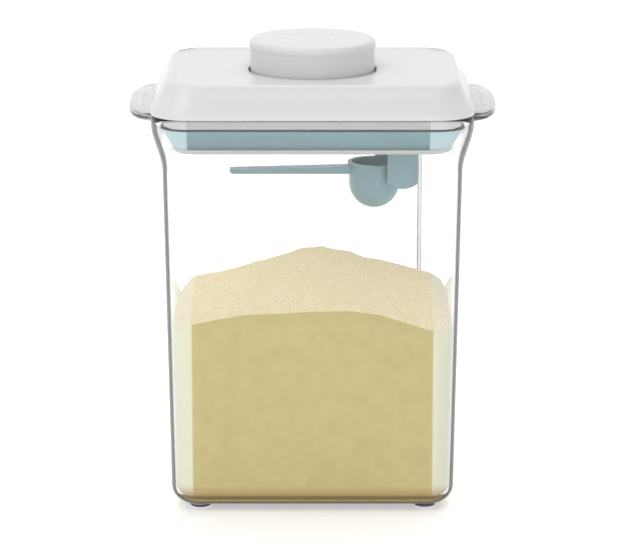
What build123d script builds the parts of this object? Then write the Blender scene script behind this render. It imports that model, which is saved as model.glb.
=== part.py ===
from build123d import *

import os
from math import asin, atan2, cos, degrees, radians, sin

# Airtight formula container with a push-button lid, scoop and leveller.
#
# Millimetres. The origin is on the table under the middle of the base, +Z is up and the front is -Y.
# The button is popped up, which is the released state: pressing it down swings four rockers, which pull the
# pressure plate up and squeeze the seal outwards against the container wall.

# ---------------------------------------------------------------- container
SIDE_GAP = 16.2  # how much less every half depth is than the half width at the same height
RIM_Z = 203.0  # top of the rim, where the lid rests
RIM_HALF_X = 80.0
RIM_CORNER = 20.0
FLANGE_THICK = 4.0
FLANGE_Z = RIM_Z - FLANGE_THICK
FLARE_Z = 174.0  # the straight wall ends and the flare to the rim begins
BASE_HALF_X = 71.3  # outer half width, carried down to the table
BASE_CORNER = 13.5
CORNER_GROWTH = 0.75  # corner radius gained per millimetre of half width
DRAFT = 0.0185  # wall spread per millimetre of height
WALL = 2.2
FOOT_HEIGHT = 2.5
FOOT_RADIUS = 5.5
FOOT_X = 57.0
FOOT_Y = 41.0
FLOOR_Z = FOOT_HEIGHT + 2.6  # inside floor
BASE_ROUND = 9.0
EAR_TIP_X = 92.5

# ---------------------------------------------------------------- leveller and powder
LEVELLER_X = 54.3  # left face of the strip
LEVELLER_THICK = 2.1
LEVELLER_FRONT_Y = 19.0
LEVELLER_TOP_Z = 182.0
RAIL_THICK = 1.3
RAIL_DEPTH = 2.2
RAIL_TOP_Z = 166.0
RAIL_GAP = 0.2
POWDER_GAP = 0.15
POWDER_SIDE_Z = 95.0
POWDER_PEAK_Z = 125.0

# ---------------------------------------------------------------- lid
LID_Z = RIM_Z + 0.3
LID_HALF_X = 80.2
LID_CORNER = 20.0
LID_FLOOR_Z = 218.7
LID_CREST_Z = 219.6
LID_WALL = 2.2
DISH_HALF_X = 62.5
DISH_EDGE = 8.4  # width of the slope from the dish floor up to the crest
HOLE_RADIUS = 32.6
HOLE_CHAMFER = 3.6  # width of the shallow bevel round the button's hole
HOLE_CHAMFER_DEPTH = 0.6
WELL_RADIUS = 36.0
WELL_WALL = 1.6
WELL_Z = 209.0

# ---------------------------------------------------------------- inner lid, seal and pressure plate
PLUG_HALF_X = 75.0
PLUG_CORNER = 15.5
PLUG_Z = 198.2
BASE_FLANGE_Z = LID_Z + 0.1
BASE_TOP_Z = 205.4
DISH_HALF = 63.0
TRAY_Z = 190.6
TRAY_FLOOR = 2.0
TRAY_TOP_Z = TRAY_Z + TRAY_FLOOR
SEAL_TOP_Z = PLUG_Z - 0.1
SEAL_BOTTOM_Z = 187.1
SEAL_TOP_HALF_X = 75.3
SEAL_BOTTOM_HALF_X = 69.4
PLATE_TOP_Z = 187.0
PLATE_THICK = 2.4
PLATE_Z = PLATE_TOP_Z - PLATE_THICK
PLATE_HALF_X = 69.2
PLATE_CORNER = 12.0
SCREW_X = 45.0
SCREW_Y = 38.0

# ---------------------------------------------------------------- button and its travel
TRAVEL = 12.0
BUTTON_TOP_Z = 234.0
BUTTON_RADIUS = 31.4
BUTTON_LIP = 0.7
BUTTON_LIP_DEPTH = 5.0
BUTTON_WALL = 2.2
BUTTON_BOTTOM_Z = 211.5
BUTTON_STOP_RADIUS = 35.2
BUTTON_STOP_THICK = 1.8
CAP_UNDER_Z = BUTTON_TOP_Z - BUTTON_WALL
STEM_HALF_X = 5.0
STEM_HALF_Y = 4.0
STEM_Z = 205.4
STEM_FLANGE_RADIUS = 14.0
STEM_FLANGE_Z = CAP_UNDER_Z - 2.1
SLEEVE_GAP = 0.35
SLEEVE_WALL = 1.6
SLEEVE_TOP_Z = 213.0
SPRING_RADIUS = 11.0
SPRING_WIRE = 0.7  # radius
SPRING_TURNS = 6.0

# ---------------------------------------------------------------- latch wire in its heart-shaped track
WIRE_RADIUS = 0.6
WIRE_Y = -5.2
WIRE_PIVOT_Z = 196.2
WIRE_TIP_Z = 207.5
WIRE_TIP_X = 2.4  # how far the tip has moved when the button is down
TRACK_DEPTH = 1.6

# ---------------------------------------------------------------- rockers
ROCKER_Y = 22.0
ROCKER_WIDTH = 6.0
ROCKER_PIVOT_X = 48.5
ROCKER_INNER = 28.0  # pivot to the nose under the button
ROCKER_OUTER = 7.0  # pivot to the nose in the lift hook
NOSE_RADIUS = 1.8
HOOK_NOSE_RADIUS = 1.5
ROCKER_SWING = degrees(asin(TRAVEL / 2 / ROCKER_INNER))  # half of the swing
ROCKER_PIVOT_Z = BUTTON_BOTTOM_Z - 0.35 - NOSE_RADIUS - TRAVEL / 2
PIN_RADIUS = 1.5
HUB_RADIUS = 3.2
LIFT = 2 * ROCKER_OUTER * sin(radians(ROCKER_SWING))
BRACKET_THICK = 2.0
BRACKET_Y = ROCKER_WIDTH / 2 + 0.35 + BRACKET_THICK
HOOK_X = ROCKER_PIVOT_X + ROCKER_OUTER * cos(radians(ROCKER_SWING))
HOOK_INNER_X = HOOK_X - 2.9
HOOK_OUTER_X = HOOK_X + 4.4
HOOK_WIDTH = 5.6

# ---------------------------------------------------------------- scoop and its holder
BOWL_X = 31.4
BOWL_RADIUS = 12.8
BOWL_WALL = 1.4
SCOOP_RIM_Z = 170.7
BOWL_BOTTOM_Z = 146.6
RIM_BEAD = 0.7
HANDLE_TIP_X = -43.0
HANDLE_WIDTH = 7.4
HANDLE_TOP_Z = 168.5
HANDLE_DEPTH = 3.8
HANDLE_TIP_DEPTH = 2.2
HANDLE_FALL = 1.6  # how far the top drops from the bowl to the tip
HANDLE_WALL = 1.1
HOLDER_RIGHT_X = 53.3
HOLDER_FRONT_X = 37.8
HOLDER_REAR_X = 32.0
HOLDER_SLOT = BOWL_RADIUS + 0.4  # half of the gap between the jaws
HOLDER_HALF_Y = HOLDER_SLOT + 2.5
HOLDER_PAD = 2.4
HOLDER_BOTTOM_Z = 159.2
HOLDER_SHOULDER_Z = 162.4


# ======================================== shared shapes
def wall_half_x(z):
    """Outer half width of the container at height z: a drafted wall, then an S-curve out to the rim."""
    straight = BASE_HALF_X + DRAFT * min(z, FLARE_Z)
    share = min(max((z - FLARE_Z) / (FLANGE_Z - FLARE_Z), 0.0), 1.0)
    return straight + (RIM_HALF_X - straight) * share * share * (3 - 2 * share)


def wall_corner(half_x):
    """Corner radius of the container where its outer half width is half_x."""
    return BASE_CORNER + CORNER_GROWTH * (half_x - BASE_HALF_X)


def wall_inner_y(z):
    """Inside face of the back wall at height z."""
    return wall_half_x(z) - SIDE_GAP - WALL


def section(z, half_x, corner, half_y=None):
    """One rounded-rectangle face at height z, ready for a loft or an extrusion."""
    half_y = half_x - SIDE_GAP if half_y is None else half_y
    with BuildSketch(Plane.XY.offset(z)) as face:
        RectangleRounded(2 * half_x, 2 * half_y, corner)
    return face.sketch


def wall_sections(heights, inset):
    """The container's sections at these heights, moved in from the outer wall by inset."""
    widths = [(z, wall_half_x(z)) for z in heights]
    return [section(z, half_x - inset, wall_corner(half_x) - inset) for z, half_x in widths]


def edges_at(part, z):
    """Edges that lie flat at height z."""
    return part.edges().filter_by_position(Axis.Z, z - 0.01, z + 0.01)


def save(part, label):
    """Labels a finished piece and writes its STEP file."""
    part.label = label
    export_step(part, f"parts/{label}.step")


FLARE_STEPS = 8
FLARE_HEIGHTS = [FLARE_Z + (FLANGE_Z - FLARE_Z) * i / FLARE_STEPS for i in range(FLARE_STEPS + 1)]
CORNERS = [(x, y) for x in (-1, 1) for y in (-1, 1)]
SIDE_NAMES = {(-1, -1): "front_left", (-1, 1): "rear_left", (1, -1): "front_right", (1, 1): "rear_right"}

os.makedirs("parts", exist_ok=True)

# ======================================== container
EAR_BACK = [(60.0, 42.0), (79.5, 42.0), (84.4, 39.4), (88.2, 35.0), (90.2, 28.0), (91.6, 18.0), (92.4, 7.0)]
EAR_OUTLINE = EAR_BACK + [(EAR_TIP_X, 0.0)] + [(x, -y) for x, y in reversed(EAR_BACK)]

with BuildPart() as cavity:
    loft(wall_sections([FLOOR_Z, FLARE_Z], WALL), ruled=True)
    fillet(edges_at(cavity.part, FLOOR_Z), BASE_ROUND - WALL)
    loft(wall_sections(FLARE_HEIGHTS, WALL), ruled=True)
    extrude(section(FLANGE_Z, RIM_HALF_X - WALL, RIM_CORNER - WALL), amount=FLANGE_THICK + 1.0)

with BuildPart() as container:
    with BuildSketch(Plane.XY.offset(FLANGE_Z)) as rim:
        RectangleRounded(2 * RIM_HALF_X, 2 * (RIM_HALF_X - SIDE_GAP), RIM_CORNER)
        for side in (-1, 1):
            with BuildLine():
                Polyline(*[(side * x, y) for x, y in EAR_OUTLINE], close=True)
            make_face()
    extrude(amount=FLANGE_THICK)
    fillet(edges_at(container.part, RIM_Z) + edges_at(container.part, FLANGE_Z), 1.2)
    loft(wall_sections([FOOT_HEIGHT, FLARE_Z], 0), ruled=True)
    fillet(edges_at(container.part, FOOT_HEIGHT), BASE_ROUND)
    loft(wall_sections(FLARE_HEIGHTS, 0), ruled=True)
    with BuildSketch():
        with Locations([(x * FOOT_X, y * FOOT_Y) for x, y in CORNERS]):
            Circle(FOOT_RADIUS)
    extrude(amount=FOOT_HEIGHT + 0.5)
    fillet(edges_at(container.part, 0), 1.0)
    add(cavity.part, mode=Mode.SUBTRACT)
    for x in (
        LEVELLER_X - RAIL_GAP - RAIL_THICK,
        LEVELLER_X + LEVELLER_THICK + RAIL_GAP,
    ):
        with BuildSketch(Plane.YZ.offset(x)):
            with BuildLine():
                Polyline(
                    (wall_inner_y(FLOOR_Z) - RAIL_DEPTH, FLOOR_Z - 0.5),
                    (wall_inner_y(FLOOR_Z) + 1.0, FLOOR_Z - 0.5),
                    (wall_inner_y(RAIL_TOP_Z) + 1.0, RAIL_TOP_Z),
                    (wall_inner_y(RAIL_TOP_Z) - RAIL_DEPTH, RAIL_TOP_Z - RAIL_DEPTH),
                    close=True,
                )
            make_face()
        extrude(amount=RAIL_THICK)
save(container.part, "container")

# ======================================== leveller: a strip that slides down between two rails
with BuildPart() as leveller:
    with BuildSketch(Plane.YZ.offset(LEVELLER_X)) as strip:
        with BuildLine():
            Polyline(
                (LEVELLER_FRONT_Y, FLOOR_Z + 0.3),
                (wall_inner_y(FLOOR_Z) - BASE_ROUND, FLOOR_Z + 0.3),
                (wall_inner_y(FLOOR_Z + BASE_ROUND) - 0.3, FLOOR_Z + BASE_ROUND),
                (wall_inner_y(LEVELLER_TOP_Z - 8) - 0.3, LEVELLER_TOP_Z),
                (LEVELLER_FRONT_Y, LEVELLER_TOP_Z),
                close=True,
            )
        make_face()
        fillet(strip.vertices().group_by(Axis.Y)[0].sort_by(Axis.Z)[-1], 5.0)
    extrude(amount=LEVELLER_THICK)
save(leveller.part, "leveller")

# ======================================== formula powder: the contents, heaped in the middle
with BuildPart() as formula_powder:
    loft(wall_sections([FLOOR_Z + POWDER_GAP, POWDER_SIDE_Z], WALL + POWDER_GAP), ruled=True)
    fillet(edges_at(formula_powder.part, FLOOR_Z + POWDER_GAP), BASE_ROUND - WALL + 0.6)
    heap_half_x = wall_half_x(POWDER_SIDE_Z) - WALL - POWDER_GAP
    heap_foot = section(POWDER_SIDE_Z, heap_half_x, wall_corner(heap_half_x + WALL) - WALL)
    loft([heap_foot, section(POWDER_PEAK_Z, 14.0, 5.0, half_y=10.0)], ruled=True)
    slot_left = LEVELLER_X - RAIL_GAP - RAIL_THICK - POWDER_GAP
    slot_right = LEVELLER_X + LEVELLER_THICK + RAIL_GAP + RAIL_THICK + POWDER_GAP
    with BuildSketch():
        with Locations(((slot_left + slot_right) / 2, LEVELLER_FRONT_Y + 40.0)):
            Rectangle(slot_right - slot_left, 80.6)
    extrude(amount=POWDER_PEAK_Z, mode=Mode.SUBTRACT)
save(formula_powder.part, "formula_powder")


# ======================================== lid shell
def lid_section(z, inset):
    """One outer section of the lid shell, moved in from its lower edge by inset."""
    return section(z, LID_HALF_X - inset, LID_CORNER - 0.3 * inset)


# the shell's outer profile from its lower edge to the crest, as height above the edge and inset
LID_PROFILE = [(2.6, 0.0), (4.4, 1.3), (6.4, 3.0), (9.2, 4.9), (12.4, 6.2), (15.0, 7.0), (16.4, 8.4)]
LID_INSIDE = [(-0.1, 0.0), (2.6, 0.0), (4.4, 1.3), (9.2, 4.9), (LID_FLOOR_Z - LID_WALL - LID_Z, 6.4)]

with BuildPart() as lid_shell:
    extrude(lid_section(LID_Z, 0), amount=LID_PROFILE[0][0])
    loft([lid_section(LID_Z + rise, inset) for rise, inset in LID_PROFILE], ruled=True)
    dish_top = section(LID_CREST_Z + 0.2, DISH_HALF_X + DISH_EDGE, 12.0)
    loft([section(LID_FLOOR_Z, DISH_HALF_X, 5.0), dish_top], ruled=True, mode=Mode.SUBTRACT)
    loft(
        [lid_section(LID_Z + rise, inset + LID_WALL) for rise, inset in LID_INSIDE],
        ruled=True,
        mode=Mode.SUBTRACT,
    )
    with BuildSketch(Plane.XY.offset(LID_FLOOR_Z - LID_WALL)):
        Circle(HOLE_RADIUS)
    extrude(amount=2 * LID_WALL, mode=Mode.SUBTRACT)
    hole_circles = lid_shell.edges().filter_by(GeomType.CIRCLE)
    hole_edge = hole_circles.filter_by_position(Axis.Z, LID_FLOOR_Z - 0.01, LID_FLOOR_Z + 0.01)
    chamfer(hole_edge, HOLE_CHAMFER_DEPTH, HOLE_CHAMFER)
    with BuildSketch(Plane.XY.offset(WELL_Z)):
        Circle(WELL_RADIUS + WELL_WALL)
        Circle(WELL_RADIUS, mode=Mode.SUBTRACT)
    extrude(amount=LID_FLOOR_Z - LID_WALL - WELL_Z + 0.5)
    with BuildSketch(Plane.XY.offset(TRAY_TOP_Z + 3.1)):
        with Locations([(x * SCREW_X, y * SCREW_Y) for x, y in CORNERS]):
            Circle(3.6)
            Circle(1.5, mode=Mode.SUBTRACT)
    extrude(amount=LID_FLOOR_Z - LID_WALL - TRAY_TOP_Z - 2.6)
save(lid_shell.part, "lid_shell")

# ======================================== inner lid: the tray that carries the mechanism
with BuildPart() as inner_lid:
    extrude(section(BASE_FLANGE_Z, PLUG_HALF_X + 2.6, LID_CORNER - 0.7), amount=BASE_TOP_Z - BASE_FLANGE_Z)
    extrude(section(PLUG_Z, PLUG_HALF_X, PLUG_CORNER), amount=BASE_TOP_Z - PLUG_Z)
    plug_inside = section(PLUG_Z + 2.0, PLUG_HALF_X - 2.0, PLUG_CORNER - 2.0)
    extrude(plug_inside, amount=BASE_TOP_Z - PLUG_Z, mode=Mode.SUBTRACT)
    extrude(section(TRAY_Z, DISH_HALF, 9.0), amount=PLUG_Z + 2.0 - TRAY_Z)
    extrude(section(TRAY_TOP_Z, DISH_HALF - 2.0, 7.0), amount=PLUG_Z, mode=Mode.SUBTRACT)
    # pads for the four lid screws, with the heads let in from below
    with BuildSketch(Plane.XY.offset(TRAY_Z)):
        with Locations([(x * SCREW_X, y * SCREW_Y) for x, y in CORNERS]):
            Circle(4.6)
    extrude(amount=5.0)
    with Locations([(x * SCREW_X, y * SCREW_Y, TRAY_Z) for x, y in CORNERS]):
        Cylinder(1.6, 5.0, align=(Align.CENTER, Align.CENTER, Align.MIN), mode=Mode.SUBTRACT)
        Cylinder(3.2, 2.4, align=(Align.CENTER, Align.CENTER, Align.MIN), mode=Mode.SUBTRACT)
    # windows for the lift hooks
    with BuildSketch(Plane.XY.offset(TRAY_Z)):
        with Locations([(x * (HOOK_INNER_X + HOOK_OUTER_X) / 2, y * ROCKER_Y) for x, y in CORNERS]):
            Rectangle(HOOK_OUTER_X - HOOK_INNER_X + 0.8, HOOK_WIDTH + 0.8)
    extrude(amount=TRAY_FLOOR, mode=Mode.SUBTRACT)
    # brackets each side of every rocker
    for x in (-1, 1):
        for y in (-1, 1):
            for edge in (y * ROCKER_Y - BRACKET_Y, y * ROCKER_Y + BRACKET_Y - BRACKET_THICK):
                with BuildSketch(Plane.XZ.offset(-edge)):
                    with Locations((x * ROCKER_PIVOT_X, ROCKER_PIVOT_Z)):
                        Circle(HUB_RADIUS)
                    with Locations((x * ROCKER_PIVOT_X, (ROCKER_PIVOT_Z + TRAY_TOP_Z) / 2)):
                        Rectangle(2 * HUB_RADIUS, ROCKER_PIVOT_Z - TRAY_TOP_Z)
                    with Locations((x * ROCKER_PIVOT_X, ROCKER_PIVOT_Z)):
                        Circle(PIN_RADIUS + 0.02, mode=Mode.SUBTRACT)
                extrude(amount=-BRACKET_THICK)
    # square sleeve that guides the button's stem, open at the front for the latch wire
    sleeve_x = STEM_HALF_X + SLEEVE_GAP
    sleeve_y = STEM_HALF_Y + SLEEVE_GAP
    with BuildSketch(Plane.XY.offset(TRAY_TOP_Z)):
        Rectangle(2 * (sleeve_x + SLEEVE_WALL), 2 * (sleeve_y + SLEEVE_WALL))
        Rectangle(2 * sleeve_x, 2 * sleeve_y, mode=Mode.SUBTRACT)
        with Locations((0, -sleeve_y - SLEEVE_WALL / 2)):
            Rectangle(7.2, SLEEVE_WALL + 0.2, mode=Mode.SUBTRACT)
    extrude(amount=SLEEVE_TOP_Z - TRAY_TOP_Z)
    # boss that the latch wire pivots in
    with BuildSketch(Plane.XZ.offset(6.2)):
        with Locations((0, WIRE_PIVOT_Z)):
            Circle(2.0)
        with Locations((0, (WIRE_PIVOT_Z + TRAY_TOP_Z) / 2)):
            Rectangle(4.0, WIRE_PIVOT_Z - TRAY_TOP_Z)
        with Locations((0, WIRE_PIVOT_Z)):
            Circle(WIRE_RADIUS + 0.05, mode=Mode.SUBTRACT)
    extrude(amount=2.4)
save(inner_lid.part, "inner_lid")

# ======================================== seal: a silicone ring with a tapered lip
with BuildPart() as seal:
    seal_foot = section(SEAL_BOTTOM_Z, SEAL_BOTTOM_HALF_X, 10.5)
    loft([seal_foot, section(SEAL_TOP_Z - 2.0, SEAL_TOP_HALF_X, 15.0)], ruled=True)
    extrude(section(SEAL_TOP_Z - 2.0, SEAL_TOP_HALF_X, 15.0), amount=2.0)
    seal_inside = section(SEAL_BOTTOM_Z, DISH_HALF + 0.3, 9.0)
    extrude(seal_inside, amount=SEAL_TOP_Z - SEAL_BOTTOM_Z, mode=Mode.SUBTRACT)
save(seal.part, "seal")

# ======================================== pressure plate under the seal
with BuildPart() as pressure_plate:
    extrude(section(PLATE_Z, PLATE_HALF_X, PLATE_CORNER), amount=PLATE_THICK)
    fillet(edges_at(pressure_plate.part, PLATE_Z), 1.8)
    with Locations([(x * (HOOK_X + 1.5), y * ROCKER_Y, PLATE_Z) for x, y in CORNERS]):
        Cylinder(1.25, PLATE_THICK, align=(Align.CENTER, Align.CENTER, Align.MIN), mode=Mode.SUBTRACT)
        Cylinder(2.7, 1.3, align=(Align.CENTER, Align.CENTER, Align.MIN), mode=Mode.SUBTRACT)
    with Locations([(HOLDER_RIGHT_X - 4.0, y, PLATE_Z) for y in (-8.0, 8.0)]):
        Cylinder(2.05, PLATE_THICK, align=(Align.CENTER, Align.CENTER, Align.MIN), mode=Mode.SUBTRACT)
save(pressure_plate.part, "pressure_plate")

# ======================================== lift hooks: the plate hangs from the rockers by these
hook_nose_z = ROCKER_PIVOT_Z - ROCKER_OUTER * sin(radians(ROCKER_SWING))
notch = HOOK_NOSE_RADIUS + 0.5
for (x, y), where in SIDE_NAMES.items():
    with BuildPart() as lift_hook:
        with BuildSketch(Plane.XZ.offset(-y * ROCKER_Y - HOOK_WIDTH / 2)):
            hook_top_z = hook_nose_z + notch + 2.2
            with Locations((x * (HOOK_INNER_X + HOOK_OUTER_X) / 2, (PLATE_TOP_Z + hook_top_z) / 2)):
                Rectangle(HOOK_OUTER_X - HOOK_INNER_X, hook_top_z - PLATE_TOP_Z)
            with Locations((x * (HOOK_X + notch - 5.0), hook_nose_z)):
                Rectangle(10.0, 2 * notch, mode=Mode.SUBTRACT)
        extrude(amount=HOOK_WIDTH)
        with Locations((x * (HOOK_X + 1.5), y * ROCKER_Y, PLATE_TOP_Z)):
            Cylinder(1.15, 7.0, align=(Align.CENTER, Align.CENTER, Align.MIN), mode=Mode.SUBTRACT)
    save(lift_hook.part, f"lift_hook_{where}")


# ======================================== screws
def screws(places, head_z, head_radius, head_height, shank_radius, shank_length):
    """Identical screws, driven upwards, with a cross recess in each head."""
    with BuildPart() as group:
        with Locations([(x, y, head_z) for x, y in places]):
            Cylinder(head_radius, head_height, align=(Align.CENTER, Align.CENTER, Align.MIN))
        with Locations([(x, y, head_z + head_height) for x, y in places]):
            Cylinder(shank_radius, shank_length, align=(Align.CENTER, Align.CENTER, Align.MIN))
        with Locations([(x, y, head_z) for x, y in places]):
            Box(head_radius, 0.5, 0.7, align=(Align.CENTER, Align.CENTER, Align.MIN), mode=Mode.SUBTRACT)
            Box(0.5, head_radius, 0.7, align=(Align.CENTER, Align.CENTER, Align.MIN), mode=Mode.SUBTRACT)
    return group.part


lid_screw_places = [(x * SCREW_X, y * SCREW_Y) for x, y in CORNERS]
save(screws(lid_screw_places, TRAY_Z + 0.2, 2.9, 2.1, 1.4, 12.0), "lid_screws")
hook_screw_places = [(x * (HOOK_X + 1.5), y * ROCKER_Y) for x, y in CORNERS]
save(screws(hook_screw_places, PLATE_Z + 0.1, 2.4, 1.1, 1.1, 8.0), "hook_screws")

# ======================================== rockers and the two pins they turn on
for (x, y), where in SIDE_NAMES.items():
    with BuildPart() as rocker:
        with BuildSketch(Plane.XZ.offset(-y * ROCKER_Y - ROCKER_WIDTH / 2)):
            # drawn level with its inner end on -X, then tilted up at that end
            with BuildLine():
                Polyline(
                    (-ROCKER_INNER - NOSE_RADIUS, 0),
                    (-ROCKER_INNER - NOSE_RADIUS, -2.2),
                    (-ROCKER_INNER + 0.5, -3.6),
                    (-HUB_RADIUS, -2.9),
                    (0, -2.9),
                    (0, -1.0),
                    (ROCKER_OUTER, -1.0),
                    (ROCKER_OUTER, 1.0),
                    (0, 1.0),
                    (-HUB_RADIUS, 0.2),
                    (-ROCKER_INNER + NOSE_RADIUS + 0.5, -1.1),
                    (-ROCKER_INNER + NOSE_RADIUS, 0),
                    close=True,
                )
            make_face()
            with Locations((-ROCKER_INNER, 0)):
                Circle(NOSE_RADIUS)
            with Locations((ROCKER_OUTER, 0)):
                Circle(HOOK_NOSE_RADIUS)
            Circle(HUB_RADIUS - 0.2)
            Circle(PIN_RADIUS + 0.05, mode=Mode.SUBTRACT)
        extrude(amount=ROCKER_WIDTH)
    tilted = rocker.part.rotate(Axis.Y, ROCKER_SWING)
    if x < 0:
        tilted = tilted.mirror(Plane.YZ)
    placed = tilted.translate((x * ROCKER_PIVOT_X, 0, ROCKER_PIVOT_Z))
    save(placed, f"rocker_{where}")

for x, where in ((-1, "left"), (1, "right")):
    pin_length = 2 * (ROCKER_Y + BRACKET_Y) + 1.0
    with BuildPart() as rocker_pin:
        with Locations(Location((x * ROCKER_PIVOT_X, 0, ROCKER_PIVOT_Z), (90, 0, 0))):
            Cylinder(PIN_RADIUS, pin_length)
        chamfer(rocker_pin.edges(), 0.3)
    save(rocker_pin.part, f"rocker_pin_{where}")

# ======================================== button cap, stem and return spring
with BuildPart() as button_cap:
    with BuildSketch(Plane.XZ) as cap_profile:
        with BuildLine():
            Polyline(
                (0, BUTTON_TOP_Z),
                (BUTTON_RADIUS + BUTTON_LIP, BUTTON_TOP_Z),
                (BUTTON_RADIUS + BUTTON_LIP, BUTTON_TOP_Z - BUTTON_LIP_DEPTH + 1.5),
                (BUTTON_RADIUS, BUTTON_TOP_Z - BUTTON_LIP_DEPTH),
                (BUTTON_RADIUS, BUTTON_BOTTOM_Z + BUTTON_STOP_THICK),
                (BUTTON_STOP_RADIUS, BUTTON_BOTTOM_Z + BUTTON_STOP_THICK),
                (BUTTON_STOP_RADIUS, BUTTON_BOTTOM_Z),
                (BUTTON_RADIUS - BUTTON_WALL, BUTTON_BOTTOM_Z),
                (BUTTON_RADIUS - BUTTON_WALL, CAP_UNDER_Z),
                (STEM_FLANGE_RADIUS + 2.0, CAP_UNDER_Z),
                (STEM_FLANGE_RADIUS + 2.0, CAP_UNDER_Z - 3.6),
                (STEM_FLANGE_RADIUS + 0.2, CAP_UNDER_Z - 3.6),
                (STEM_FLANGE_RADIUS + 0.2, CAP_UNDER_Z),
                (0, CAP_UNDER_Z),
                close=True,
            )
        make_face()
        top_corner = cap_profile.vertices().group_by(Axis.Y)[-1].sort_by(Axis.X)[-1]
        fillet(top_corner, 2.2)
    revolve(axis=Axis.Z)
save(button_cap.part, "button_cap")

with BuildPart() as button_stem:
    with BuildSketch(Plane.XY.offset(STEM_Z)):
        Rectangle(2 * STEM_HALF_X, 2 * STEM_HALF_Y)
    extrude(amount=STEM_FLANGE_Z - STEM_Z)
    with BuildSketch(Plane.XY.offset(STEM_FLANGE_Z)):
        Circle(STEM_FLANGE_RADIUS)
    extrude(amount=2.0)
    # heart-shaped track: two lanes that part above the entry and meet again in the latching pocket
    with BuildSketch(Plane.XZ.offset(STEM_HALF_Y)):
        with BuildLine():
            Polyline(
                (-1.1, STEM_Z - 0.1),
                (1.1, STEM_Z - 0.1),
                (1.1, STEM_Z + 3.0),
                (WIRE_TIP_X + 1.2, STEM_Z + 12.6),
                (WIRE_TIP_X + 1.2, STEM_Z + 15.4),
                (-WIRE_TIP_X - 1.2, STEM_Z + 15.4),
                (-WIRE_TIP_X - 1.2, STEM_Z + 12.6),
                (-1.1, STEM_Z + 3.0),
                close=True,
            )
        make_face()
        with BuildLine():
            Polyline(
                (0, STEM_Z + 9.0),
                (1.0, STEM_Z + 12.6),
                (0, STEM_Z + 11.8),
                (-1.0, STEM_Z + 12.6),
                close=True,
            )
        make_face(mode=Mode.SUBTRACT)
    extrude(amount=-TRACK_DEPTH, mode=Mode.SUBTRACT)
save(button_stem.part, "button_stem")

with BuildPart() as return_spring:
    spring_start = TRAY_TOP_Z + SPRING_WIRE + 0.1
    spring_height = STEM_FLANGE_Z - 0.1 - SPRING_WIRE - spring_start
    with BuildLine():
        coil = Helix(
            pitch=spring_height / SPRING_TURNS,
            height=spring_height,
            radius=SPRING_RADIUS,
            center=(0, 0, spring_start),
        )
    with BuildSketch(Plane(origin=coil @ 0, z_dir=coil % 0)):
        Circle(SPRING_WIRE)
    sweep(path=coil, is_frenet=True)
save(return_spring.part, "return_spring")

# ======================================== latch wire
with BuildPart() as latch_wire:
    with BuildLine() as wire_path:
        FilletPolyline(
            (0, WIRE_Y - 3.0, WIRE_PIVOT_Z),
            (0, WIRE_Y, WIRE_PIVOT_Z),
            (0, WIRE_Y, WIRE_TIP_Z),
            (0, WIRE_Y + 2.2, WIRE_TIP_Z),
            radius=0.7,
        )
    with BuildSketch(Plane(origin=wire_path.line @ 0, z_dir=wire_path.line % 0)):
        Circle(WIRE_RADIUS)
    sweep(path=wire_path.line)
save(latch_wire.part, "latch_wire")

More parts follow.
